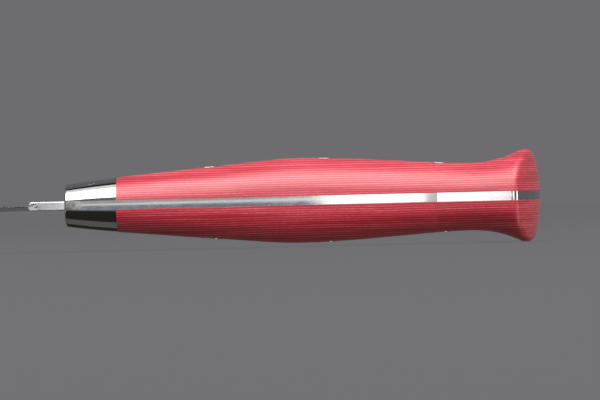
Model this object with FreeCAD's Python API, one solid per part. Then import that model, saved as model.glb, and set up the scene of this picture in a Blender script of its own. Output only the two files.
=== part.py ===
import FreeCAD, Part
import math
import os

# Full-tang grafting knife, lying on its right side. All sizes are millimetres.
# While it is drawn, the origin is on the blade's centre plane at the front of the bolsters:
# +X runs back to the butt, +Y up to the spine, and Z across the thickness, with the left side at +Z.
# The finished pieces are then moved together, so that the origin is under the middle of the whole knife.

V = FreeCAD.Vector

# Lengths along the knife, from the front of the bolsters
blade_length = 60.0
ricasso_length = 9.0
bolster_length = 12.7
handle_length = 116.8
shoulder_at = 40.0
swell_at = 58.0
belly_swell_at = 50.0

# Lengths back along the handle's middle line, from the crown of the butt
fall_from_butt = 36.1
crease_from_butt = 25.4
waist_from_butt = 16.5
flare_from_butt = 4.3
rim_from_butt = 2.4

# Half thicknesses of the handle
front_half_thickness = 5.3
junction_half_thickness = 6.8
shoulder_half_thickness = 9.25
swell_half_thickness = 10.5
fall_half_thickness = 9.45
waist_half_thickness = 8.4
flare_half_thickness = 11.25
rim_half_thickness = 11.45

# Heights of the spine above the middle line
front_spine = 8.2
junction_spine = 8.9
swell_spine = 10.6
waist_spine = 9.5
flare_spine = 11.7

# Depths of the belly below the middle line
front_belly = 7.9
junction_belly = 8.65
swell_belly = 11.0
crease_belly = 9.2
flare_belly = 14.0

# Slopes of the outlines, in mm of half thickness, height or depth to each mm along the knife
front_taper = 0.14
junction_taper = 0.09
shoulder_taper = 0.083
fall_taper = -0.07
flare_taper = 0.5
front_spine_slope = 0.06
junction_spine_slope = 0.05
flare_spine_slope = 0.25
front_belly_slope = 0.05
junction_belly_slope = 0.065
into_crease_slope = -0.16
out_of_crease_slope = 0.22
flare_belly_slope = 0.23

# Where the flaring outlines would go on to, behind the butt
past_butt_rise = 0.9
past_butt_belly_rise = 1.0
past_butt_slope = 0.1

# Shape of the sections and of the butt
section_power = 2.4
butt_slant_deg = 14.5
butt_dome_radius = 40.0
rim_round = 1.6
front_round = 0.5

# Steel
steel_thickness = 2.2
ricasso_step = 0.35
tip_drop_length = 24.0
edge_half_thickness = 0.12
bevel_height = 0.7
keen_half_thickness = 0.02

# Fasteners
front_bolt_at = 35.4
rear_bolt_from_butt = 24.3
bolt_head_radius = 2.4
bolt_shank_radius = 1.8
bolt_thread_radius = 1.2
bolt_seat_depth = 3.2
bolt_sleeve_floor = 1.6
bolt_end_gap = 0.4
bolster_pin_radius = 1.5
bolster_pin_rise = 3.8
pin_clearance = 0.03

# How finely the handle's surface is laid out, how far cutting tools overshoot, and what counts as touching
RING_POINTS = 24
FRONT_SECTIONS = 18
REAR_SECTIONS = 13
MARGIN = 4.0
TOUCH = 0.01

crease_at = handle_length - crease_from_butt
flare_at = handle_length - flare_from_butt
past_butt = handle_length + MARGIN
half_steel = steel_thickness / 2
ricasso_belly = front_belly - front_round - ricasso_step
blade_spine = front_spine - front_round - ricasso_step
reach = 2 * handle_length
rear_bolt_at = handle_length - rear_bolt_from_butt
bolt_seat = half_steel + bolt_seat_depth
BOLTS = {
    "front": (front_bolt_at, 0),
    "middle": ((front_bolt_at + rear_bolt_at) / 2, 0),
    "rear": (rear_bolt_at, 0),
}
BOLSTER_PINS = {
    "upper": (bolster_length / 2, bolster_pin_rise),
    "lower": (bolster_length / 2, -bolster_pin_rise),
}


def law(stations, x):
    """Value at x of the smooth curve through (place, value, slope) stations."""
    for (x0, v0, s0), (x1, v1, s1) in zip(stations, stations[1:]):
        if x <= x1:
            break
    span = x1 - x0
    t = (x - x0) / span
    start = (2 * t ** 3 - 3 * t ** 2 + 1) * v0 + (t ** 3 - 2 * t ** 2 + t) * span * s0
    end = (3 * t ** 2 - 2 * t ** 3) * v1 + (t ** 3 - t ** 2) * span * s1
    return start + end


HALF_THICKNESS = [
    (0, front_half_thickness, front_taper),
    (bolster_length, junction_half_thickness, junction_taper),
    (shoulder_at, shoulder_half_thickness, shoulder_taper),
    (swell_at, swell_half_thickness, 0),
    (handle_length - fall_from_butt, fall_half_thickness, fall_taper),
    (handle_length - waist_from_butt, waist_half_thickness, 0),
    (flare_at, flare_half_thickness, flare_taper),
    (handle_length - rim_from_butt, rim_half_thickness, 0),
    (past_butt, rim_half_thickness, 0),
]
SPINE = [
    (0, front_spine, front_spine_slope),
    (bolster_length, junction_spine, junction_spine_slope),
    (swell_at, swell_spine, 0),
    (handle_length - waist_from_butt, waist_spine, 0),
    (flare_at, flare_spine, flare_spine_slope),
    (past_butt, flare_spine + past_butt_rise, past_butt_slope),
]
FRONT_BELLY = [
    (0, front_belly, front_belly_slope),
    (bolster_length, junction_belly, junction_belly_slope),
    (belly_swell_at, swell_belly, 0),
    (crease_at, crease_belly, into_crease_slope),
]
REAR_BELLY = [
    (crease_at, crease_belly, out_of_crease_slope),
    (flare_at, flare_belly, flare_belly_slope),
    (past_butt, flare_belly + past_butt_belly_rise, past_butt_slope),
]


def power(value, exponent):
    return math.copysign(abs(value) ** exponent, value)


def section(x, belly):
    """Closed ring across the handle at x: a rounded oval, deeper or shallower on the belly side."""
    half = law(HALF_THICKNESS, x)
    points = []
    for i in range(RING_POINTS):
        angle = 2 * math.pi * i / RING_POINTS
        rise = power(math.cos(angle), 2 / section_power)
        height = law(SPINE, x) if rise > 0 else law(belly, x)
        points.append(V(x, height * rise, half * power(math.sin(angle), 2 / section_power)))
    ring = Part.BSplineCurve()
    ring.interpolate(Points=points, PeriodicFlag=True)
    return Part.Wire(ring.toShape())


def loft(start, end, count, belly):
    """Solid through count sections, evenly spaced from start to end."""
    step = (end - start) / (count - 1)
    return Part.makeLoft([section(start + step * i, belly) for i in range(count)], True)


def dome_centre():
    slant = math.radians(butt_slant_deg)
    return V(handle_length - butt_dome_radius * math.cos(slant), butt_dome_radius * math.sin(slant), 0)


def butt_cutter():
    """Everything behind the slanted dome that ends the butt."""
    centre = dome_centre()
    block = Part.makeBox(reach, reach, reach, V(centre.x, -handle_length, -handle_length))
    return block.cut(Part.makeSphere(butt_dome_radius, centre))


def on_rim(point):
    return abs(point.distanceToPoint(dome_centre()) - butt_dome_radius) < TOUCH


def on_front(point):
    return abs(point.x) < TOUCH


def edges_where(shape, test):
    """Edges of a shape whose two ends and middle all pass the test."""
    found = []
    for edge in shape.Edges:
        first, last = edge.ParameterRange
        if all(test(edge.valueAt(p)) for p in (first, (first + last) / 2, last)):
            found.append(edge)
    return found


def handle_body():
    """The whole outer shape of the handle, as it is ground with every piece in place."""
    front = loft(0, crease_at, FRONT_SECTIONS, FRONT_BELLY)
    rear = loft(crease_at, past_butt, REAR_SECTIONS, REAR_BELLY)
    body = front.fuse(rear).cut(butt_cutter())
    body = body.makeFillet(rim_round, edges_where(body, on_rim))
    return body.makeFillet(front_round, edges_where(body, on_front)).Solids[0]


def slab(x0, x1, z0, z1):
    """Box from x0 to x1 and z0 to z1, taller than the handle."""
    return Part.makeBox(x1 - x0, reach, z1 - z0, V(x0, -handle_length, z0))


def rod(place, radius, z0, z1):
    """Cylinder across the knife, with its axis at place."""
    return Part.makeCylinder(radius, z1 - z0, V(place[0], place[1], z0))


def side_slab(x0, x1, side):
    """Everything from x0 to x1 on one side of the tang; side is +1 on the left and -1 on the right."""
    return slab(x0, x1, half_steel, reach) if side > 0 else slab(x0, x1, -reach, -half_steel)


def across(place, radius, side, z0, z1):
    """Cylinder from z0 to z1 on the given side, counted outwards from the middle plane."""
    return rod(place, radius, z0, z1) if side > 0 else rod(place, radius, -z1, -z0)


def blade_outline():
    """Side of the blade bar: a straight edge, and a straight spine that falls in one arc to the tip."""
    height = ricasso_belly + blade_spine
    drop_at = tip_drop_length - blade_length
    radius = (tip_drop_length ** 2 + height ** 2) / (2 * height)
    half_turn = math.asin(tip_drop_length / radius) / 2
    heel = V(bolster_length / 2, -ricasso_belly, 0)
    tip = V(-blade_length, -ricasso_belly, 0)
    bend = V(drop_at - radius * math.sin(half_turn), blade_spine - radius * (1 - math.cos(half_turn)), 0)
    top = V(drop_at, blade_spine, 0)
    back = V(heel.x, blade_spine, 0)
    sides = [
        Part.LineSegment(heel, tip),
        Part.Arc(tip, bend, top),
        Part.LineSegment(top, back),
        Part.LineSegment(back, heel),
    ]
    return Part.Wire([side.toShape() for side in sides])


def wedge(low, high, start):
    """Steel taken off one side of the blade, from x = start to past the tip.

    Its sloping face passes through low and high, both (height, half thickness).
    """
    slope = (high[1] - low[1]) / (high[0] - low[0])
    below = low[0] - MARGIN
    above = blade_spine + MARGIN
    outside = steel_thickness + MARGIN
    corners = [
        V(start, below, low[1] + slope * (below - low[0])),
        V(start, above, low[1] + slope * (above - low[0])),
        V(start, above, outside),
        V(start, below, outside),
    ]
    face = Part.Face(Part.makePolygon(corners + corners[:1]))
    return face.extrude(V(-blade_length - MARGIN, 0, 0))


def blade(handle):
    """One bar of steel: the blade, the ricasso, and the tang that fills the handle.

    Both sides are ground flat from the spine to the edge, and the grind stops at the ricasso's round nose.
    """
    bar = Part.Face(blade_outline()).extrude(V(0, 0, steel_thickness))
    bar.translate(V(0, 0, -half_steel))
    edge_line = -ricasso_belly
    grind_slope = (half_steel - edge_half_thickness) / (ricasso_belly + blade_spine)
    shoulder = (edge_line + bevel_height, edge_half_thickness + grind_slope * bevel_height)
    nose = half_steel - ricasso_length
    bullnose = Part.makeCylinder(half_steel, reach, V(nose, -handle_length, 0), V(0, 1, 0))
    cuts = [
        wedge((edge_line, edge_half_thickness), (blade_spine, half_steel), nose),
        wedge((edge_line, keen_half_thickness), shoulder, nose),
    ]
    cuts = [cut.cut(bullnose) for cut in cuts]
    cuts += [cut.mirror(V(0, 0, 0), V(0, 0, 1)) for cut in cuts]
    tang = handle.common(slab(0, past_butt, -half_steel, half_steel))
    steel = bar.cut(cuts).fuse(tang).removeSplitter()
    holes = [rod(place, bolt_shank_radius + pin_clearance, -reach, reach) for place in BOLTS.values()]
    holes += [rod(place, bolster_pin_radius + pin_clearance, -reach, reach) for place in BOLSTER_PINS.values()]
    return steel.cut(holes)


def bolster(handle, side):
    """Steel piece in front of a scale, on one side of the tang."""
    half = handle.common(side_slab(0, bolster_length, side))
    holes = [rod(place, bolster_pin_radius + pin_clearance, -reach, reach) for place in BOLSTER_PINS.values()]
    return half.cut(holes)


def scale(handle, side):
    """Laminate side of the handle, counterbored from outside for the heads of the bolts."""
    half = handle.common(side_slab(bolster_length, past_butt, side))
    holes = []
    for place in BOLTS.values():
        holes.append(rod(place, bolt_shank_radius + pin_clearance, -reach, reach))
        holes.append(across(place, bolt_head_radius + pin_clearance, side, bolt_seat, reach))
    return half.cut(holes)


def bolt_sleeve(handle, place):
    """Left half of a handle bolt: a head ground flush, and a hollow shank that reaches the other head."""
    head = rod(place, bolt_head_radius, bolt_seat, reach).common(handle)
    shank = rod(place, bolt_shank_radius, bolt_end_gap - bolt_seat, bolt_seat)
    bore = rod(place, bolt_thread_radius + pin_clearance, -bolt_seat, bolt_seat - bolt_sleeve_floor)
    return head.fuse(shank).removeSplitter().cut(bore)


def bolt_screw(handle, place):
    """Right half of a handle bolt: a head ground flush, and the screw that fills the sleeve."""
    head = rod(place, bolt_head_radius, -reach, -bolt_seat).common(handle)
    shank = rod(place, bolt_thread_radius, -bolt_seat, bolt_seat - bolt_sleeve_floor - bolt_end_gap)
    return head.fuse(shank).removeSplitter()


def bolster_pin(handle, place):
    return rod(place, bolster_pin_radius, -reach, reach).common(handle)


def build():
    handle = handle_body()
    pieces = {
        "blade": blade(handle),
        "left_bolster": bolster(handle, 1),
        "right_bolster": bolster(handle, -1),
        "left_scale": scale(handle, 1),
        "right_scale": scale(handle, -1),
    }
    for name, place in BOLSTER_PINS.items():
        pieces[name + "_bolster_pin"] = bolster_pin(handle, place)
    for name, place in BOLTS.items():
        pieces[name + "_bolt_sleeve"] = bolt_sleeve(handle, place)
        pieces[name + "_bolt_screw"] = bolt_screw(handle, place)
    return pieces


def main():
    pieces = build()
    box = Part.makeCompound(list(pieces.values())).optimalBoundingBox(False, False)
    home = V(-(box.XMin + box.XMax) / 2, -(box.YMin + box.YMax) / 2, -box.ZMin)
    os.makedirs("parts", exist_ok=True)
    for name, shape in pieces.items():
        shape.translate(home)
        solid = shape if shape.ShapeType == "Solid" else shape.Solids[0]
        print(name, len(shape.Solids), round(solid.Volume, 1), solid.isValid())
        solid.exportStep("parts/" + name + ".step")
    print("front of the bolsters is at", home)


main()
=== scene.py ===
import math

import bpy
import numpy as np
from bpy.props import FloatProperty, FloatVectorProperty, PointerProperty
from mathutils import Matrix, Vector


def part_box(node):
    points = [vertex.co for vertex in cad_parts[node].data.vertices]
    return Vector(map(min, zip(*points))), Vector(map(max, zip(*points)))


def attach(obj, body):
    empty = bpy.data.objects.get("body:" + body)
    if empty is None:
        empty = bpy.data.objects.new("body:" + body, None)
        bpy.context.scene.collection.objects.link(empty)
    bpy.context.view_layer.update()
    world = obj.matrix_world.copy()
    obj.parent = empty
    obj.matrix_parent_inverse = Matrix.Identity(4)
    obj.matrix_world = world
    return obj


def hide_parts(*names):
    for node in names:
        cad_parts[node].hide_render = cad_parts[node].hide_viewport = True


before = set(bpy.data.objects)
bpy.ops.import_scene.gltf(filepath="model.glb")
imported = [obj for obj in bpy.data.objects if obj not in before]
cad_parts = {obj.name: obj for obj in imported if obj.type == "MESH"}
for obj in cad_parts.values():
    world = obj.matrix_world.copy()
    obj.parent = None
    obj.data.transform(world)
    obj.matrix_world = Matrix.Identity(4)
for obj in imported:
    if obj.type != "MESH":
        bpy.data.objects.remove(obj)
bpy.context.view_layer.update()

# Grafting knife on its right side. Lengths are metres in the frame's axes: +X to the butt, -Y to the
# cutting edge, +Y to the spine, +Z out of the left side. Inside the shape functions x is counted from
# the front of the bolsters, y from the middle line of the handle and z from the middle of the steel.

bl_info = {
    "name": "Grafting Knife",
    "version": (1, 0, 0),
    "blender": (4, 5, 0),
    "location": "3D View > Sidebar > Knife",
    "description": "Dresses the packed frame of a full-tang grafting knife",
    "category": "Object",
}

MM = 0.001
BOLSTER_LOW, BOLSTER_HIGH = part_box("left_bolster")
BLADE_LOW, BLADE_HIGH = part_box("blade")
UPPER_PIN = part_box("upper_bolster_pin")
LOWER_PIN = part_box("lower_bolster_pin")
FRONT = np.array([
    BOLSTER_LOW.x,
    (UPPER_PIN[0].y + LOWER_PIN[1].y) / 2,
    (BLADE_LOW.z + BLADE_HIGH.z) / 2,
])
BOLSTER_LENGTH = BOLSTER_HIGH.x - BOLSTER_LOW.x
BLADE_LENGTH = BOLSTER_LOW.x - BLADE_LOW.x
HALF_STEEL = (BLADE_HIGH.z - BLADE_LOW.z) / 2
BOLTS = ("front", "middle", "rear")

# How far the outlines go on behind the butt, and how far in front of it the search for the dome starts
PAST_BUTT = 4 * MM
PAST_BUTT_SLOPE = 0.1
DOME_SEARCH = 12 * MM
HALVINGS = 40

# Small sizes of the fasteners
BOLT_END_GAP = 0.4 * MM
BOLT_SLEEVE_FLOOR = 1.6 * MM
PIN_CLEARANCE = 0.03 * MM
PIN_STAND = 0.006 * MM

# How far the bar runs on inside the bolsters, the share of the ricasso that lifts, and what counts as touching
BAR_OVERLAP = 0.3 * MM
LIFT_SHARE = 0.75
TOUCH = 0.01 * MM

# How finely the surfaces are laid out, and how far their columns crowd towards the steel
SKIN_COLUMNS = 121
CROWDING = 0.35
SKIN_ROW = 0.35 * MM
ROUNDING_ROWS = 17
END_ROWS = 26
STEEL_COLUMNS = 9
BELLY_ROWS = 260
BEAK_ROWS = 90
DOME_ROWS = 40
BLADE_ROWS = 200
NOSE_ROWS = 15
RICASSO_ROWS = 30
BLADE_COLUMNS = 61
CIRCLE_POINTS = 72
RIM_ROWS = 6
STAGE_POINTS = 97

# Colour sockets of a Mix node: its two inputs and its output
MIX_FIRST, MIX_SECOND, MIX_RESULT = 6, 7, 2


def linear(code):
    """sRGB hex code to linear red, green and blue."""
    value = np.array([int(code[i:i + 2], 16) for i in (1, 3, 5)]) / 255
    return tuple(np.where(value <= 0.04045, value / 12.92, ((value + 0.055) / 1.055) ** 2.4))


def length(name, description, millimetres):
    return FloatProperty(name=name, description=description, default=millimetres * MM, unit="LENGTH")


def colour(name, description, code):
    return FloatVectorProperty(
        name=name, description=description, default=linear(code), size=3, subtype="COLOR")


class KnifeShape(bpy.types.PropertyGroup):
    handle_length: length("Handle length", "Front of the bolsters to the crown of the butt", 116.8)
    ricasso_length: length("Ricasso length", "Unground steel in front of the bolsters", 9.0)
    shoulder_at: length("Shoulder", "Place of the shoulder behind the bolsters", 40.0)
    swell_at: length("Swell", "Place of the palm swell", 58.0)
    belly_swell_at: length("Belly swell", "Deepest place of the belly", 50.0)
    fall_from_butt: length("Fall", "Where the swell has fallen away, from the crown of the butt", 36.1)
    crease_from_butt: length("Crease", "Crease in the belly, from the crown of the butt", 25.4)
    waist_from_butt: length("Waist", "Thinnest place before the flare, from the crown of the butt", 16.5)
    flare_from_butt: length("Flare", "Steepest place of the flare, from the crown of the butt", 4.3)
    rim_from_butt: length("Rim", "Where the flare levels out at the rim, from the crown of the butt", 2.4)
    half_thickness: FloatVectorProperty(
        name="Half thickness", description="At front, junction, shoulder, swell, fall, waist, flare and rim",
        size=8, unit="LENGTH", default=[v * MM for v in (5.3, 6.8, 9.25, 10.5, 9.45, 8.4, 11.25, 11.45)])
    spine_height: FloatVectorProperty(
        name="Spine height", description="At front, junction, swell, waist and flare",
        size=5, unit="LENGTH", default=[v * MM for v in (8.2, 8.9, 10.6, 9.5, 11.7)])
    belly_depth: FloatVectorProperty(
        name="Belly depth", description="At front, junction, swell, crease and flare",
        size=5, unit="LENGTH", default=[v * MM for v in (7.9, 8.65, 11.0, 9.2, 14.0)])
    taper: FloatVectorProperty(
        name="Taper", description="Growth of the half thickness at front, junction, shoulder, fall and flare",
        size=5, default=(0.14, 0.09, 0.083, -0.07, 0.5))
    spine_slope: FloatVectorProperty(
        name="Spine slope", description="Rise of the spine at front, junction and flare",
        size=3, default=(0.06, 0.05, 0.25))
    belly_slope: FloatVectorProperty(
        name="Belly slope", description="Deepening at front, junction, into and out of the crease, and flare",
        size=5, default=(0.05, 0.065, -0.16, 0.22, 0.23))
    past_butt_rise: length("Rise past the butt", "Where the spine would go on to behind the butt", 0.9)
    past_butt_belly_rise: length("Belly past the butt", "Where the belly would go on to behind the butt", 1.0)
    section_power: FloatProperty(
        name="Section power", description="2 is an ellipse, more is squarer", default=2.4)
    butt_slant: FloatProperty(
        name="Butt slant", description="Lean of the butt towards the belly", default=math.radians(14.5),
        subtype="ANGLE")
    dome_radius: length("Dome radius", "Radius of the butt's domed end", 40.0)
    rim_round: length("Rim rounding", "Softened rim of the butt", 1.6)
    front_round: length("Front rounding", "Softened front of the bolsters", 0.5)
    ricasso_step: length("Ricasso step", "Step from the blade bar up to the bolsters' rounding", 0.35)
    tip_drop: length("Tip drop", "Length of the arc in which the spine falls to the tip", 24.0)
    edge_half_thickness: length("Edge half thickness", "Left by the main grind at the edge", 0.12)
    bevel_height: length("Bevel height", "Height of the sharpening bevel", 0.7)
    keen_half_thickness: length("Keen half thickness", "Left by the sharpening bevel", 0.02)
    bar_round: length("Bar rounding", "Softened corners of the blade bar", 0.22)
    head_radius: length("Bolt head radius", "Heads of the handle bolts", 2.4)
    shank_radius: length("Bolt shank radius", "Hollow shanks of the handle bolts", 1.8)
    thread_radius: length("Bolt thread radius", "Solid shanks of the handle bolts", 1.2)
    seat_depth: length("Bolt seat depth", "Laminate left between the tang and a bolt head", 3.2)
    proud: length("Bolt stand", "How far buffing leaves the hard bolt heads proud of the laminate", 0.07)
    ricasso_lift: length("Ricasso lift", "Rise of the ricasso's belly side by the bolsters", 0.28)


class KnifeFinish(bpy.types.PropertyGroup):
    laminate: colour("Laminate", "Phenolic resin in dyed linen", "#A01E2C")
    thread: colour("Thread", "Cut linen threads between the plies", "#DA7C88")
    deep: colour("Deep resin", "Resin-rich stretches of a ply", "#8A0E20")
    steel: colour("Steel", "Bare stainless steel", "#D2D1CF")
    grind: colour("Ground steel", "Steel as it leaves the fine belt", "#C4C4C4")
    # Painted shade: this colour darkens the tang's front to stand in for a dark reflection in the steel.
    painted_shade: colour("Glue smear", "Thin smear of old glue on the tang", "#55524E")
    pit: colour("Pits", "Specks left in the ricasso's nose", "#3A332C")
    # Painted shade: a thin dark ring round each bolt head, where the gap between head and laminate would lie in
    # shade.
    seam: colour("Seam", "Dark glue round the bolt heads", "#2A080C")
    ply_pitch: length("Ply pitch", "Thickness of one ply of the laminate", 0.55)
    thread_pitch: length("Thread pitch", "Spacing of the threads, twice the real one so that it shows", 0.6)


class KnifeStudio(bpy.types.PropertyGroup):
    floor: colour("Floor", "Plain floor", "#6C6B6E")
    paper: colour("Paper", "What the floor gives back of the lights", "#161616")
    wall: colour("Wall", "Plain backdrop", "#6D6C6F")
    surround: colour("Surround", "Dim light from all round", "#2A2927")
    view_width: length("View width", "Width of the view at the knife", 148.8)
    camera_distance: length("Camera distance", "From the knife's middle plane", 700.0)
    view_centre: length("View centre", "From the front of the bolsters", 57.8)
    view_rise: length("View rise", "Camera's height over the middle of the steel", 0.12)
    roll: FloatProperty(
        name="Roll", description="Roll of the camera", default=math.radians(1.34), subtype="ANGLE")


def law(stations, x):
    """Smooth curve through (place, value, slope) stations, a cubic between each two."""
    place, value, slope = np.array(stations, float).T
    i = np.clip(np.searchsorted(place, x) - 1, 0, len(place) - 2)
    span = place[i + 1] - place[i]
    t = (x - place[i]) / span
    start = (2 * t ** 3 - 3 * t ** 2 + 1) * value[i] + (t ** 3 - 2 * t ** 2 + t) * span * slope[i]
    end = (3 * t ** 2 - 2 * t ** 3) * value[i + 1] + (t ** 3 - t ** 2) * span * slope[i + 1]
    return start + end


def profile(shape, x):
    """Half thickness, spine height and belly depth of the handle at x."""
    butt = shape.handle_length
    crease = butt - shape.crease_from_butt
    waist = butt - shape.waist_from_butt
    flare = butt - shape.flare_from_butt
    rim = butt - shape.rim_from_butt
    past = butt + PAST_BUTT
    thick, spine, belly = shape.half_thickness, shape.spine_height, shape.belly_depth
    taper, rise, fall = shape.taper, shape.spine_slope, shape.belly_slope
    half = law([
        (0, thick[0], taper[0]), (BOLSTER_LENGTH, thick[1], taper[1]),
        (shape.shoulder_at, thick[2], taper[2]), (shape.swell_at, thick[3], 0),
        (butt - shape.fall_from_butt, thick[4], taper[3]), (waist, thick[5], 0),
        (flare, thick[6], taper[4]), (rim, thick[7], 0), (past, thick[7], 0)], x)
    up = law([
        (0, spine[0], rise[0]), (BOLSTER_LENGTH, spine[1], rise[1]), (shape.swell_at, spine[2], 0),
        (waist, spine[3], 0), (flare, spine[4], rise[2]),
        (past, spine[4] + shape.past_butt_rise, PAST_BUTT_SLOPE)], x)
    front = law([
        (0, belly[0], fall[0]), (BOLSTER_LENGTH, belly[1], fall[1]), (shape.belly_swell_at, belly[2], 0),
        (crease, belly[3], fall[2])], x)
    rear = law([
        (crease, belly[3], fall[3]), (flare, belly[4], fall[4]),
        (past, belly[4] + shape.past_butt_belly_rise, PAST_BUTT_SLOPE)], x)
    return half, up, np.where(x < crease, front, rear)


def skin(shape, x, turn):
    """Points of the handle's outer surface: x along it, turn from 0 at the spine to 1 at the belly.

    y = height cos^(2/n) and z = half thickness sin^(2/n) of an angle that turns from the spine to
    the belly, both ends held where z is half of the steel's thickness.
    """
    half, up, down = profile(shape, x)
    n = shape.section_power
    first = np.arcsin((HALF_STEEL / half) ** (n / 2))
    angle = first + turn * (math.pi - 2 * first)
    rise = np.cos(angle)
    y = np.where(rise > 0, up, down) * np.sign(rise) * np.abs(rise) ** (2 / n)
    return np.stack([x + 0 * y, y, half * np.sin(angle) ** (2 / n)], -1)


def ridge(shape, x, z, side):
    """Points of the outer surface over the tang: side +1 along the spine, -1 along the belly."""
    half, up, down = profile(shape, x)
    n = shape.section_power
    y = side * (up if side > 0 else down) * (1 - np.abs(z / half) ** n) ** (1 / n)
    return np.stack([x + 0 * y, y, z + 0 * y], -1)


def surface_height(shape, x, y):
    """Height z of the outer surface over the point x, y: the section's curve solved for z."""
    half, up, down = profile(shape, x)
    n = shape.section_power
    return half * np.clip(1 - np.abs(y / np.where(y > 0, up, down)) ** n, 0, 1) ** (1 / n)


def dome_centre(shape):
    return np.array([shape.handle_length - shape.dome_radius * math.cos(shape.butt_slant),
                     shape.dome_radius * math.sin(shape.butt_slant), 0])


def on_dome(shape, points):
    """The points moved along X onto the sphere that ends the butt."""
    centre = dome_centre(shape)
    aside = (points[..., 1] - centre[1]) ** 2 + points[..., 2] ** 2
    moved = points.copy()
    moved[..., 0] = centre[0] + np.sqrt(shape.dome_radius ** 2 - aside)
    return moved


def on_front(shape, points):
    moved = points.copy()
    moved[..., 0] = 0
    return moved


def reach_dome(shape, curve, count):
    """x at which each of count lines along the handle meets the dome, found by halving."""
    low = np.full(count, shape.handle_length - DOME_SEARCH)
    high = np.full(count, shape.handle_length + PAST_BUTT)
    for _ in range(HALVINGS):
        middle = (low + high) / 2
        outside = np.linalg.norm(curve(middle) - dome_centre(shape), axis=-1) > shape.dome_radius
        high = np.where(outside, middle, high)
        low = np.where(outside, low, middle)
    return low


def inward(points, shape):
    """Unit vectors across the section from its outline towards its inside, in the Y and Z directions."""
    half, up, down = profile(shape, points[..., 0])
    height = np.where(points[..., 1] > 0, up, down)
    n = shape.section_power
    y = -np.sign(points[..., 1]) * np.abs(points[..., 1] / height) ** (n - 1) / height
    z = -np.sign(points[..., 2]) * np.abs(points[..., 2] / half) ** (n - 1) / half
    size = np.hypot(y, z)
    return np.stack([0 * y, y / size, z / size], -1)


def unit(vectors):
    return vectors / np.linalg.norm(vectors, axis=-1, keepdims=True)


def rounding(shape, curve, corner_x, radius, onto):
    """Rows of an arc of the given radius that turns from the skin onto an end face.

    The arc is the blend ((1-t)^2 A + 2 w t (1-t) C + t^2 B) / ((1-t)^2 + 2 w t (1-t) + t^2) of its
    start A on the skin, the corner C and its end B on the end face. w is the sine of half the
    corner's angle, and A and B lie radius / tangent of half that angle away from C.
    """
    corner = curve(corner_x)
    small = 0.05 * MM
    back = unit(curve(corner_x - math.copysign(small, radius)) - corner)
    across = unit(onto(shape, corner + small * inward(corner, shape)) - corner)
    half_angle = np.arccos(np.sum(back * across, -1)) / 2
    reach = abs(radius) / np.tan(half_angle)
    before = curve(corner_x + reach * back[..., 0])
    inner = corner + reach[..., None] * across
    inner[..., 2] = np.sign(corner[..., 2]) * np.maximum(
        np.abs(inner[..., 2]), np.minimum(np.abs(corner[..., 2]), HALF_STEEL))
    inner = onto(shape, inner)
    weight = np.sin(half_angle)[:, None]
    t = np.linspace(0, 1, ROUNDING_ROWS)[:, None, None]
    total = (1 - t) ** 2 + 2 * weight * t * (1 - t) + t ** 2
    return ((1 - t) ** 2 * before + 2 * weight * t * (1 - t) * corner + t ** 2 * inner) / total


def quads(rows, columns):
    """Corner numbers of the squares of a grid whose points are stored row by row."""
    index = np.arange(rows * columns).reshape(rows, columns)
    return np.stack([index[:-1, :-1], index[1:, :-1], index[1:, 1:], index[:-1, 1:]], -1).reshape(-1, 4)


def make_piece(name, points, faces, materials, slot, replaced, zones=None, sharp=9):
    """A mesh object from local points and faces, placed in the frame and put on the knife's body."""
    mesh = bpy.data.meshes.new(name)
    mesh.from_pydata((points + FRONT).tolist(), [], [list(map(int, face)) for face in faces])
    for material in materials:
        mesh.materials.append(material)
    if zones is not None:
        mesh.polygons.foreach_set("material_index", zones)
    mesh.shade_smooth()
    mesh.set_sharp_from_angle(angle=math.radians(sharp))
    mesh.validate()
    piece = bpy.data.objects.new(name, mesh)
    bpy.context.scene.collection.objects.link(piece)
    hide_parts(*replaced)
    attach(piece, "root")


def half_shell(shape, start, stops, corner, radius, onto):
    """Closed half of the handle's outside, from x = start to an end face.

    The grid runs from the section at start along the skin, through stops, round the corner with the
    end face and across that face to the flat side on the tang. Columns run from spine to belly.
    """
    turn = ((1 - np.cos(np.linspace(0, math.pi, SKIN_COLUMNS))) / 2 * CROWDING
            + np.linspace(0, 1, SKIN_COLUMNS) * (1 - CROWDING))

    def curve(x):
        return skin(shape, x, turn)

    corner_x = corner(shape, curve, len(turn))
    bend = rounding(shape, curve, corner_x, radius, onto)
    rows = []
    ends = list(stops) + [bend[0, :, 0]]
    begin = start + 0 * corner_x
    for end in ends:
        count = max(2, int(round(abs(np.mean(end - begin)) / SKIN_ROW)))
        share = np.linspace(0, 1, count, endpoint=False)[:, None]
        rows.append(curve(begin + share * (end - begin)))
        begin = end + 0 * corner_x
    rows.append(bend)
    flat = bend[-1].copy()
    flat[:, 2] = HALF_STEEL
    share = np.linspace(0, 1, END_ROWS)[1:, None, None]
    rows.append(onto(shape, bend[-1] + share * (flat - bend[-1])))
    grid = np.concatenate(rows)
    count, columns = grid.shape[:2]
    index = np.arange(count * columns).reshape(count, columns)
    backing = np.stack([index[:-1, -1], index[1:, -1], index[1:, 0], index[:-1, 0]], -1)
    faces = list(quads(count, columns)) + list(backing) + [index[0], index[-1, ::-1]]
    return grid.reshape(-1, 3), faces


def mirrored(points, faces, side):
    """The other side of the knife: z changes sign, and the corners' order turns round."""
    if side > 0:
        return points, faces
    return points * np.array([1, 1, -1]), [face[::-1] for face in faces]


def front_corner(shape, curve, count):
    return np.zeros(count)


class KNIFE_OT_scales(bpy.types.Operator):
    """Two laminate sides of the handle, from the bolsters to the domed butt"""
    bl_idname = "knife.scales"
    bl_label = "Laminate scales"

    def execute(self, context):
        shape = context.scene.knife_shape
        crease = shape.handle_length - shape.crease_from_butt
        points, faces = half_shell(shape, BOLSTER_LENGTH, [crease], reach_dome, shape.rim_round, on_dome)
        material = linen_laminate(context)
        for side, name in ((1, "left_scale"), (-1, "right_scale")):
            half = mirrored(points, faces, side)
            make_piece(name + "_laminate", *half, [material], "red_linen_laminate", [name])
        return {"FINISHED"}


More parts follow.
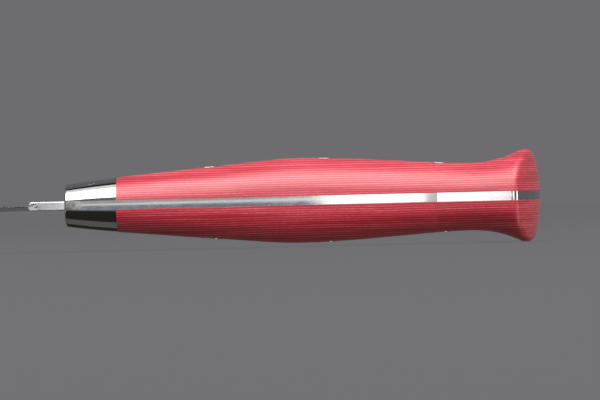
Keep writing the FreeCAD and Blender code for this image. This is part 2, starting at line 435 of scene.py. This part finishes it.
class KNIFE_OT_bolsters(bpy.types.Operator):
    """Two polished steel bolsters with softened fronts"""
    bl_idname = "knife.bolsters"
    bl_label = "Bolsters"

    def execute(self, context):
        shape = context.scene.knife_shape
        points, faces = half_shell(shape, BOLSTER_LENGTH, [], front_corner, -shape.front_round, on_front)
        material = polished_steel(context)
        for side, name in ((-1, "left_bolster"), (1, "right_bolster")):
            half = mirrored(points * np.array([1, 1, -1]), faces, side)
            make_piece(name + "_steel", *half, [material], "bolster_steel", [name])
        return {"FINISHED"}


def tang_ribbon(shape):
    """The strip of the tang that shows all round the handle, as points [along the loop, across].

    It starts at the front of the belly, and runs back along it, round the rim, over the dome, round
    the rim and forward along the spine, with the skin's own curve across the steel.
    """
    across = np.linspace(-HALF_STEEL, HALF_STEEL, STEEL_COLUMNS)
    crease = shape.handle_length - shape.crease_from_butt
    loop = []
    for side in (-1, 1):
        def curve(x):
            return ridge(shape, x, across, side)
        rim = reach_dome(shape, curve, len(across))
        first = rounding(shape, curve, 0 * across, -shape.front_round, on_front)[::-1]
        last = rounding(shape, curve, rim, shape.rim_round, on_dome)
        share = np.linspace(0, 1, BELLY_ROWS)[1:, None]
        before = curve(first[-1, :, 0] + share * (crease - first[-1, :, 0]))
        share = np.linspace(0, 1, BEAK_ROWS)[1:-1, None]
        after = curve(crease + share * (last[0, :, 0] - crease))
        run = np.concatenate([first, before, after, last])
        loop.append(run if side < 0 else run[::-1])
    share = np.linspace(0, 1, DOME_ROWS)[1:-1, None, None]
    dome = on_dome(shape, loop[0][-1] + share * (loop[1][0] - loop[0][-1]))
    return np.concatenate([loop[0], dome, loop[1]])


def blade_bar(shape):
    """Two faces of the blade bar as heights over its side outline, as points [side, along, up].

    Half thickness = the flat grind, thinned near the edge by the sharpening bevel, or the round nose
    of the ricasso where that is thicker, less the rounding of the bar's long corners. The ricasso's
    belly side rises with the square of the distance as it nears the bolsters.
    """
    belly = shape.belly_depth[0] - shape.front_round - shape.ricasso_step
    spine = shape.spine_height[0] - shape.front_round - shape.ricasso_step
    height = belly + spine
    nose = HALF_STEEL - shape.ricasso_length
    turn = np.linspace(0, math.pi / 2, NOSE_ROWS)
    along = np.concatenate([
        -BLADE_LENGTH + (BLADE_LENGTH - shape.ricasso_length) * np.linspace(0, 1, BLADE_ROWS)[:-1],
        nose - HALF_STEEL * np.cos(turn),
        np.linspace(nose, BAR_OVERLAP, RICASSO_ROWS)[1:],
    ])
    drop = shape.tip_drop - BLADE_LENGTH
    radius = (shape.tip_drop ** 2 + height ** 2) / (2 * height)
    fall = radius - np.sqrt(radius ** 2 - np.minimum(along - drop, 0) ** 2)
    lift_from = -LIFT_SHARE * shape.ricasso_length
    lift = shape.ricasso_lift * (np.maximum(along - lift_from, 0) / -lift_from) ** 2
    tall = (height - fall - lift)[:, None]
    share = (1 - np.cos(np.linspace(0, math.pi, BLADE_COLUMNS))) / 2
    up = tall * share[None, :]
    slope = (HALF_STEEL - shape.edge_half_thickness) / height
    grind = shape.edge_half_thickness + slope * up
    shoulder = shape.edge_half_thickness + slope * shape.bevel_height
    bevel = shape.keen_half_thickness + (shoulder - shape.keen_half_thickness) * up / shape.bevel_height
    x = along[:, None]
    end = np.sqrt(np.clip(HALF_STEEL ** 2 - np.minimum(x - nose, 0) ** 2, 0, None))
    half = np.maximum(np.minimum(grind, bevel), np.where(x < -shape.ricasso_length, 0, end))
    r = shape.bar_round
    near = np.clip(r - np.where(x < -shape.ricasso_length, tall - up, np.minimum(up, tall - up)), 0, r)
    half = np.minimum(half, HALF_STEEL - (r - np.sqrt(r ** 2 - near ** 2)))
    half[0] = np.minimum(half[0], shape.keen_half_thickness)
    face = np.stack([x + 0 * up, up - belly + lift[:, None], half], -1)
    return np.stack([face, face * np.array([1, 1, -1])])


class KNIFE_OT_blade(bpy.types.Operator):
    """One bar of steel: ground blade, ricasso, and the tang that shows round the handle"""
    bl_idname = "knife.blade"
    bl_label = "Blade and tang"

    def execute(self, context):
        shape = context.scene.knife_shape
        ribbon = tang_ribbon(shape)
        count, width = ribbon.shape[:2]
        index = np.arange(count * width).reshape(count, width)
        ring = np.concatenate([index, index[:1]])
        strip = np.stack([ring[:-1, :-1], ring[:-1, 1:], ring[1:, 1:], ring[1:, :-1]], -1)
        faces = list(strip.reshape(-1, 4)[:, ::-1])
        faces += [index[:, -1], index[::-1, 0]]
        tang_faces = len(faces)
        bar = blade_bar(shape)
        rows, columns = bar.shape[1:3]
        at = count * width + np.arange(2 * rows * columns).reshape(2, rows, columns)
        low, high = at
        sheet = quads(rows, columns)
        faces += list(sheet + low[0, 0]) + list(sheet[:, ::-1] + high[0, 0])
        ground = bar[0, :-1, :-1, 0].ravel() < -shape.ricasso_length - TOUCH
        for near, far in ((low[:, 0], high[:, 0]), (high[:, -1], low[:, -1])):
            faces += list(np.stack([near[:-1], far[:-1], far[1:], near[1:]], -1)[:, ::-1])
        faces.append(np.concatenate([low[-1], high[-1, ::-1]]))
        points = np.concatenate([ribbon.reshape(-1, 3), bar.reshape(-1, 3)])
        materials = [tang_steel(context), ground_steel(context), satin_steel(context)]
        buffed, belted, rubbed = range(3)
        zones = np.full(len(faces), rubbed, np.int32)
        zones[:tang_faces] = buffed
        zones[tang_faces:tang_faces + 2 * len(ground)] = np.tile(np.where(ground, belted, rubbed), 2)
        make_piece("blade_and_tang_steel", points, faces, materials, "blade_steel", ["blade"], zones, sharp=8)
        return {"FINISHED"}


def turned(shape, place, rings, name, material, slot, replaced, side=1):
    """A fastener: circles of given radius about an axis across the knife, closed at both ends.

    Each ring is (radius, height, follow). A ring that follows lies on the handle's surface, height
    above it; the others lie at that height over the middle of the steel.
    """
    angle = np.linspace(0, 2 * math.pi, CIRCLE_POINTS, endpoint=False)
    rows = []
    for radius, height, follow in rings:
        x = place[0] + radius * np.cos(angle)
        y = place[1] + radius * np.sin(angle)
        z = height + (follow * surface_height(shape, x, y) if follow else 0 * x)
        rows.append(np.stack([x, y, z], -1))
    grid = np.stack(rows)
    count, columns = grid.shape[:2]
    index = np.arange(count * columns).reshape(count, columns)
    ring = np.concatenate([index, index[:, :1]], 1)
    faces = np.stack([ring[:-1, :-1], ring[1:, :-1], ring[1:, 1:], ring[:-1, 1:]], -1).reshape(-1, 4)
    faces = list(faces) + [index[0], index[-1, ::-1]]
    make_piece(name, *mirrored(grid.reshape(-1, 3), faces, side), [material], slot, [replaced])


def head_rings(radius, proud, floor):
    """Rings of a head that stands proud of the handle's surface, as turned takes them.

    They run from its middle out to its rim, rounded with proud as radius, and down its side to floor.
    """
    inside = [(radius * share, proud, 1) for share in (0.05, 0.3, 0.55, 0.75, 0.88)]
    turn = np.linspace(0, math.pi / 2, RIM_ROWS)
    rim = [(radius - proud * (1 - math.sin(a)), proud * math.cos(a), 1) for a in turn]
    return inside + rim + [(radius, -2 * proud, 1), (radius, floor, 0)]


def axis_of(node):
    low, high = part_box(node)
    return (low.x + high.x) / 2 - FRONT[0], (low.y + high.y) / 2 - FRONT[1]


class KNIFE_OT_bolts(bpy.types.Operator):
    """Three two-part handle bolts, their heads buffed until they hardly stand proud of the laminate"""
    bl_idname = "knife.bolts"
    bl_label = "Handle bolts"

    def execute(self, context):
        shape = context.scene.knife_shape
        material = bolt_steel(context)
        seat = HALF_STEEL + shape.seat_depth
        head = head_rings(shape.head_radius, shape.proud, seat)
        bore = shape.thread_radius + PIN_CLEARANCE
        middle = 0.1 * bore
        floor = seat - BOLT_SLEEVE_FLOOR
        mouth = BOLT_END_GAP - seat
        tip = BOLT_END_GAP - floor
        sleeve = head + [(shape.shank_radius, seat, 0), (shape.shank_radius, mouth, 0),
                         (bore, mouth, 0), (bore, floor, 0), (middle, floor, 0)]
        screw = head + [(shape.thread_radius, seat, 0), (shape.thread_radius, tip, 0), (middle, tip, 0)]
        for bolt in BOLTS:
            for kind, rings, side in (("sleeve", sleeve, 1), ("screw", screw, -1)):
                node = f"{bolt}_bolt_{kind}"
                turned(shape, axis_of(node), rings, node + "_steel", material, "bolt_steel", node, side)
        return {"FINISHED"}


class KNIFE_OT_bolster_pins(bpy.types.Operator):
    """Two steel pins through the bolsters, peened and polished flush"""
    bl_idname = "knife.bolster_pins"
    bl_label = "Bolster pins"

    def execute(self, context):
        shape = context.scene.knife_shape
        material = polished_steel(context)
        for place in ("upper", "lower"):
            node = place + "_bolster_pin"
            low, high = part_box(node)
            top = head_rings((high.x - low.x) / 2, PIN_STAND, 0)
            bottom = [(radius, -height, -follow) for radius, height, follow in top[-2::-1]]
            turned(shape, axis_of(node), top + bottom, node + "_steel", material, "bolster_steel", node)
        return {"FINISHED"}


def add(tree, kind, inputs=(), **settings):
    """Adds a node, gives it its settings, and fills or links its inputs."""
    made = tree.nodes.new(kind)
    for name, value in settings.items():
        setattr(made, name, value)
    for key, value in dict(inputs).items():
        if isinstance(value, bpy.types.NodeSocket):
            tree.links.new(value, made.inputs[key])
        else:
            made.inputs[key].default_value = value
    return made


def new_material(name):
    material = bpy.data.materials.new(name)
    material.use_nodes = True
    material.node_tree.nodes.clear()
    return material, material.node_tree


def knife_coordinates(tree):
    """Object coordinates in millimetres from the front of the bolsters, the middle line and the steel."""
    place = add(tree, "ShaderNodeTexCoord")
    scaled = add(tree, "ShaderNodeMapping", {
        "Vector": place.outputs["Object"], "Location": tuple(-FRONT / MM), "Scale": (1 / MM,) * 3})
    return scaled.outputs["Vector"]


def finish_material(material, tree, inputs):
    surface = add(tree, "ShaderNodeBsdfPrincipled", inputs)
    add(tree, "ShaderNodeOutputMaterial", {"Surface": surface.outputs["BSDF"]})
    return material


def rgba(value):
    return (*value, 1)


def mix(tree, factor, first, second):
    """Colour that goes from first to second as factor goes from 0 to 1."""
    made = add(tree, "ShaderNodeMix", {
        "Factor": factor, MIX_FIRST: first, MIX_SECOND: second}, data_type="RGBA")
    return made.outputs[MIX_RESULT]


def linen_laminate(context):
    """Linen and phenolic laminate, cut, sanded and buffed.

    Plies lie flat against the tang. Where the surface cuts them their threads show as pale lines,
    one to a ply, broken along their length, and resin-rich stretches show darker and glossier. The
    cut fibres give a faint sheen.
    """
    finish = context.scene.knife_finish
    shape = context.scene.knife_shape
    material, tree = new_material("linen_phenolic_laminate_buffed")
    place = knife_coordinates(tree)
    sway = add(tree, "ShaderNodeTexNoise", {
        "Vector": add(tree, "ShaderNodeMapping", {"Vector": place, "Scale": (0.035, 0.06, 0.02)}).outputs[0],
        "Scale": 1.0, "Detail": 2.0})
    parts = add(tree, "ShaderNodeSeparateXYZ", {"Vector": place})
    swayed = add(tree, "ShaderNodeMath", {
        0: sway.outputs[0], 1: 0.5, 2: parts.outputs["Z"]}, operation="MULTIPLY_ADD")
    ply = add(tree, "ShaderNodeMath", {
        0: swayed.outputs[0], 1: 2 * math.pi * MM / finish.ply_pitch}, operation="MULTIPLY")
    wave = add(tree, "ShaderNodeMath", {0: ply.outputs[0]}, operation="SINE")
    line = add(tree, "ShaderNodeMapRange", {
        "Value": wave.outputs[0], "From Min": 0.1, "From Max": 0.9}, interpolation_type="SMOOTHSTEP")
    dashes = add(tree, "ShaderNodeTexNoise", {
        "Vector": add(tree, "ShaderNodeMapping", {"Vector": place, "Scale": (0.9, 0.9, 2.2)}).outputs[0],
        "Scale": 1.0, "Detail": 3.0, "Roughness": 0.65})
    streaks = add(tree, "ShaderNodeTexNoise", {
        "Vector": add(tree, "ShaderNodeMapping", {"Vector": place, "Scale": (0.03, 0.05, 1.15)}).outputs[0],
        "Scale": 1.0, "Detail": 4.0, "Roughness": 0.6})
    pitch = 2 * math.pi * MM / finish.thread_pitch
    warp = add(tree, "ShaderNodeMath", {0: parts.outputs["X"], 1: pitch}, operation="MULTIPLY")
    weft = add(tree, "ShaderNodeMath", {0: parts.outputs["Y"], 1: pitch}, operation="MULTIPLY")
    weave = add(tree, "ShaderNodeMath", {
        0: add(tree, "ShaderNodeMath", {0: warp.outputs[0]}, operation="SINE").outputs[0],
        1: add(tree, "ShaderNodeMath", {0: weft.outputs[0]}, operation="SINE").outputs[0],
    }, operation="MULTIPLY")
    broken = add(tree, "ShaderNodeMapRange", {
        "Value": dashes.outputs[0], "From Min": 0.3, "From Max": 0.72, "To Min": 0.35, "To Max": 1.0})
    strength = add(tree, "ShaderNodeMapRange", {
        "Value": streaks.outputs[0], "From Min": 0.35, "From Max": 0.7, "To Min": 0.15, "To Max": 0.8})
    threads = add(tree, "ShaderNodeMath", {0: line.outputs[0], 1: broken.outputs[0]}, operation="MULTIPLY")
    facing = add(tree, "ShaderNodeSeparateXYZ", {
        "Vector": add(tree, "ShaderNodeNewGeometry").outputs["Normal"]})
    flat = add(tree, "ShaderNodeMapRange", {
        "Value": add(tree, "ShaderNodeMath", {0: facing.outputs["Z"]}, operation="ABSOLUTE").outputs[0],
        "From Min": 0.8, "From Max": 0.98, "To Min": 0.0, "To Max": 0.22})
    woven = add(tree, "ShaderNodeMath", {0: weave.outputs[0], 1: flat.outputs[0], 2: threads.outputs[0]},
                operation="MULTIPLY_ADD", use_clamp=True)
    amount = add(tree, "ShaderNodeMath", {0: woven.outputs[0], 1: strength.outputs[0]}, operation="MULTIPLY")
    lean = add(tree, "ShaderNodeMapRange", {"Value": streaks.outputs[0], "From Min": 0.3, "From Max": 0.62})
    resin = mix(tree, lean.outputs[0], rgba(finish.deep), rgba(finish.laminate))
    base = mix(tree, amount.outputs[0], resin, rgba(finish.thread))
    # Painted shade: darken a thin ring round each bolt head, where the gap between head and laminate would lie
    # in shade.
    for bolt in BOLTS:
        centre = axis_of(bolt + "_bolt_sleeve")
        away = add(tree, "ShaderNodeVectorMath", {
            0: add(tree, "ShaderNodeCombineXYZ", {"X": parts.outputs["X"], "Y": parts.outputs["Y"]}).outputs[0],
            1: (centre[0] / MM, centre[1] / MM, 0)}, operation="DISTANCE")
        ring = add(tree, "ShaderNodeMapRange", {
            "Value": away.outputs["Value"], "From Min": shape.head_radius / MM + 0.05,
            "From Max": shape.head_radius / MM + 0.16, "To Min": 0.85, "To Max": 0.0})
        base = mix(tree, ring.outputs[0], base, rgba(finish.seam))
    crease = (shape.handle_length - shape.crease_from_butt) / MM
    unbuffed = add(tree, "ShaderNodeMapRange", {
        "Value": parts.outputs["X"], "From Min": crease - 6, "From Max": crease + 4,
        "To Min": 0.38, "To Max": 0.42})
    rough = add(tree, "ShaderNodeMath", {0: amount.outputs[0], 1: 0.1, 2: unbuffed.outputs[0]},
                operation="MULTIPLY_ADD")
    relief = add(tree, "ShaderNodeBump", {
        "Height": woven.outputs[0], "Distance": 0.02 * MM, "Strength": 0.5})
    return finish_material(material, tree, {
        "Base Color": base, "Roughness": rough.outputs[0], "Normal": relief.outputs[0], "IOR": 1.55,
        "Sheen Weight": 0.06, "Sheen Roughness": 0.45})


def brushed(context, name, tint, rough, spread, scale, depth, nose=False, painted_front_shade=False):
    """Bare stainless steel with fine scratches: noise drawn out along the scratches.

    The roughness stays within spread of rough, and the noise bends the reflection by depth, in
    millimetres; scale is lines per millimetre along X, Y and Z. With nose, the front of the ricasso
    has small dark pits. The last flag darkens and roughens the tang behind the front of the bolsters: painted
    shade for a dark reflection.
    """
    finish = context.scene.knife_finish
    material, tree = new_material(name)
    place = knife_coordinates(tree)
    lines = add(tree, "ShaderNodeTexNoise", {
        "Vector": add(tree, "ShaderNodeMapping", {"Vector": place, "Scale": scale}).outputs[0],
        "Scale": 1.0, "Detail": 3.0, "Roughness": 0.6})
    clouds = add(tree, "ShaderNodeTexNoise", {"Vector": place, "Scale": 0.35, "Detail": 3.0})
    mixed = add(tree, "ShaderNodeMath", {0: lines.outputs[0], 1: clouds.outputs[0]}, operation="MULTIPLY")
    roughness = add(tree, "ShaderNodeMapRange", {
        "Value": mixed.outputs[0], "From Min": 0.12, "From Max": 0.42,
        "To Min": rough - spread, "To Max": rough + spread})
    shade = mix(tree, clouds.outputs[0], rgba(tuple(0.94 * v for v in tint)), rgba(tint))
    bumps = add(tree, "ShaderNodeBump", {"Height": lines.outputs[0], "Distance": depth * MM, "Strength": 0.5})
    if nose:
        specks = add(tree, "ShaderNodeTexNoise", {"Vector": place, "Scale": 2.6, "Detail": 2.0})
        parts = add(tree, "ShaderNodeSeparateXYZ", {"Vector": place})
        end = -context.scene.knife_shape.ricasso_length / MM
        near = add(tree, "ShaderNodeMapRange", {
            "Value": parts.outputs["X"], "From Min": end + 3.4, "From Max": end + 1.8})
        pits = add(tree, "ShaderNodeMapRange", {
            "Value": specks.outputs[0], "From Min": 0.52, "From Max": 0.58})
        mask = add(tree, "ShaderNodeMath", {0: near.outputs[0], 1: pits.outputs[0]}, operation="MULTIPLY")
        shade = mix(tree, mask.outputs[0], shade, rgba(finish.pit))
    # Painted shade: a darker, rougher patch on the tang just behind the front of the bolsters, standing in for
    # a dark reflection.
    if painted_front_shade:
        parts = add(tree, "ShaderNodeSeparateXYZ", {"Vector": place})
        front_shade_noise = add(tree, "ShaderNodeTexNoise", {"Vector": place, "Scale": 1.1, "Detail": 3.0})
        edge = add(tree, "ShaderNodeMath", {0: front_shade_noise.outputs[0], 1: 7.0, 2: parts.outputs["X"]},
                   operation="MULTIPLY_ADD")
        front_shade_mask = add(tree, "ShaderNodeMapRange", {
            "Value": edge.outputs[0], "From Min": 5.5, "From Max": 8.5, "To Min": 0.8, "To Max": 0.0})
        shade = mix(tree, front_shade_mask.outputs[0], shade, rgba(finish.painted_shade))
        roughness = add(tree, "ShaderNodeMath", {0: front_shade_mask.outputs[0], 1: 0.35, 2: roughness.outputs[0]},
                        operation="MULTIPLY_ADD")
    return finish_material(material, tree, {
        "Base Color": shade, "Metallic": 1.0, "Roughness": roughness.outputs[0],
        "Normal": bumps.outputs[0]})


def polished_steel(context):
    """Stainless steel buffed to a mirror: sharp reflections, faint wheel lines along the handle."""
    return brushed(context, "stainless_steel_mirror_buffed", context.scene.knife_finish.steel,
                   0.09, 0.03, (0.08, 4.0, 4.0), 0.0001)


def tang_steel(context):
    """Stainless steel buffed to a mirror together with the handle, its front darkened by painted shade that
    stands in for a dark reflection.
    """
    return brushed(context, "stainless_steel_tang_buffed", context.scene.knife_finish.steel,
                   0.11, 0.03, (0.08, 4.0, 4.0), 0.0001, painted_front_shade=True)


def satin_steel(context):
    """Stainless steel rubbed by hand along the bar: soft, stretched highlights on the ricasso."""
    return brushed(context, "stainless_steel_satin_rubbed", context.scene.knife_finish.steel,
                   0.27, 0.04, (0.25, 5.0, 5.0), 0.0001, nose=True)


def ground_steel(context):
    """Stainless steel from a fine belt: lines run from the spine to the edge."""
    return brushed(context, "stainless_steel_belt_ground", context.scene.knife_finish.grind,
                   0.26, 0.025, (5.0, 0.15, 0.15), 0.0003)


def bolt_steel(context):
    """Stainless bolt heads buffed together with the laminate: a soft mirror with wheel lines."""
    return brushed(context, "stainless_steel_bolt_buffed", context.scene.knife_finish.steel,
                   0.18, 0.05, (0.3, 5.0, 5.0), 0.0003)


def stage_piece(name, points, faces, material):
    mesh = bpy.data.meshes.new(name)
    mesh.from_pydata(points.tolist(), [], faces.tolist())
    mesh.materials.append(material)
    mesh.shade_smooth()
    piece = bpy.data.objects.new(name, mesh)
    bpy.context.scene.collection.objects.link(piece)
    return piece


def turned_sheet(radii, heights):
    """Sheet turned about the Z axis: each ring is (radius, height)."""
    angle = np.linspace(0, 2 * math.pi, STAGE_POINTS)
    points = np.stack([np.outer(radii, np.cos(angle)), np.outer(radii, np.sin(angle)),
                       np.repeat(heights[:, None], len(angle), 1)], -1)
    return points.reshape(-1, 3), quads(len(radii), len(angle))[:, ::-1]


def softbox(name, place, target, size, brightness, tint="#FFFFFF"):
    """Rectangular light at place, facing target; brightness is its radiance. The camera doesn't see it."""
    lamp = bpy.data.lights.new(name, "AREA")
    lamp.shape = "RECTANGLE"
    lamp.size, lamp.size_y = size
    lamp.energy = brightness * math.pi * size[0] * size[1]
    lamp.color = linear(tint)
    holder = bpy.data.objects.new(name, lamp)
    bpy.context.scene.collection.objects.link(holder)
    holder.location = place
    direction = Vector(target) - Vector(place)
    holder.rotation_euler = direction.to_track_quat("-Z", "Y").to_euler()
    holder.visible_camera = False


def card(name, low, high, brightness, tint="#FFFFFF"):
    """Upright light in the plane behind the camera, from low to high, each (x, z) from the view's centre."""
    size = (high[0] - low[0], high[1] - low[1])
    middle = FRONT + np.array([bpy.context.scene.knife_studio.view_centre, 0, 0])
    place = middle + ((low[0] + high[0]) / 2, -0.75, (low[1] + high[1]) / 2)
    softbox(name, place, place + (0, 1, 0), size, brightness, tint)


class KNIFE_OT_stage(bpy.types.Operator):
    """Plain floor, round backdrop, soft lights and the camera"""
    bl_idname = "knife.stage"
    bl_label = "Studio"

    def execute(self, context):
        studio = context.scene.knife_studio
        paper, tree = new_material("matt_paper_floor")
        finish_material(paper, tree, {
            "Base Color": rgba(studio.paper), "Roughness": 0.9, "Specular IOR Level": 0.0,
            "Emission Color": rgba(studio.floor), "Emission Strength": 0.98})
        radii = np.array([0.01, 0.2, 0.6, 1.2, 2.0, 3.0])
        floor = stage_piece("floor", *turned_sheet(radii, 0 * radii), paper)
        floor.visible_glossy = False
        floor.visible_diffuse = False
        floor.visible_shadow = False
        wall, tree = new_material("matt_paper_backdrop")
        glow = add(tree, "ShaderNodeEmission", {"Color": rgba(studio.wall), "Strength": 1.0})
        add(tree, "ShaderNodeOutputMaterial", {"Surface": glow.outputs[0]})
        stage_piece("backdrop", *turned_sheet(np.array([3.0, 3.0, 3.0]), np.array([-1.0, 0.0, 5.5])), wall)
        world = bpy.data.worlds.new("dim_studio")
        world.use_nodes = True
        world.node_tree.nodes["Background"].inputs["Color"].default_value = rgba(studio.surround)
        context.scene.world = world
        middle = FRONT + np.array([studio.view_centre, 0, 0])
        softbox("front_softbox", middle + (0, -0.46, 0.6), middle, (1.3, 0.74), 6.6)
        softbox("top_softbox", middle + (0, -0.02, 0.6), middle, (1.3, 0.28), 1.0)
        softbox("low_softbox", middle + (0, 0.16, -0.6), middle, (1.3, 0.5), 0.1)
        softbox("right_softbox", middle + (0.75, -0.2, -0.35), middle, (0.35, 1.0), 2.6, "#FFF4E6")
        softbox("left_softbox", middle + (-0.7, -0.35, -0.1), middle, (0.4, 0.4), 0.5)
        card("right_card", (0.014, -0.08), (0.27, 0.2), 1.8)
        card("right_dim", (0.27, -0.1), (0.42, 0.2), 0.6)
        card("left_card", (-0.5, -0.2), (-0.24, 0.2), 1.8)
        card("left_line", (-0.24, -0.005), (0.014, 0.03), 0.9)
        card("left_dim", (-0.24, 0.03), (0.014, 0.16), 0.3)
        card("left_low", (-0.24, -0.2), (0.014, -0.005), 0.2, "#A9BBE0")
        lens = bpy.data.cameras.new("camera")
        lens.sensor_width = 36
        lens.lens = lens.sensor_width * studio.camera_distance / studio.view_width
        lens.clip_start, lens.clip_end = 0.01, 20
        camera = bpy.data.objects.new("camera", lens)
        context.scene.collection.objects.link(camera)
        camera.location = middle + (0, -studio.camera_distance, studio.view_rise)
        camera.rotation_euler = (math.pi / 2, studio.roll, 0)
        context.scene.camera = camera
        context.scene.view_settings.view_transform = "Standard"
        return {"FINISHED"}


class KNIFE_PT_panel(bpy.types.Panel):
    """Buttons that build the knife piece by piece"""
    bl_label = "Grafting Knife"
    bl_idname = "KNIFE_PT_panel"
    bl_space_type = "VIEW_3D"
    bl_region_type = "UI"
    bl_category = "Knife"

    def draw(self, context):
        for operator in OPERATORS:
            self.layout.operator(operator.bl_idname)
        for group in (context.scene.knife_shape, context.scene.knife_finish, context.scene.knife_studio):
            box = self.layout.box()
            for name in group.__annotations__:
                box.prop(group, name)


GROUPS = {"knife_shape": KnifeShape, "knife_finish": KnifeFinish, "knife_studio": KnifeStudio}
OPERATORS = (KNIFE_OT_blade, KNIFE_OT_bolsters, KNIFE_OT_scales, KNIFE_OT_bolts, KNIFE_OT_bolster_pins,
             KNIFE_OT_stage)


def register():
    for kind in (*GROUPS.values(), *OPERATORS, KNIFE_PT_panel):
        bpy.utils.register_class(kind)
    for name, kind in GROUPS.items():
        setattr(bpy.types.Scene, name, PointerProperty(type=kind))


def unregister():
    for name in GROUPS:
        delattr(bpy.types.Scene, name)
    for kind in reversed((*GROUPS.values(), *OPERATORS, KNIFE_PT_panel)):
        bpy.utils.unregister_class(kind)


def main():
    register()
    bpy.ops.knife.blade()
    bpy.ops.knife.bolsters()
    bpy.ops.knife.scales()
    bpy.ops.knife.bolts()
    bpy.ops.knife.bolster_pins()
    bpy.ops.knife.stage()


if __name__ == "__main__":
    main()
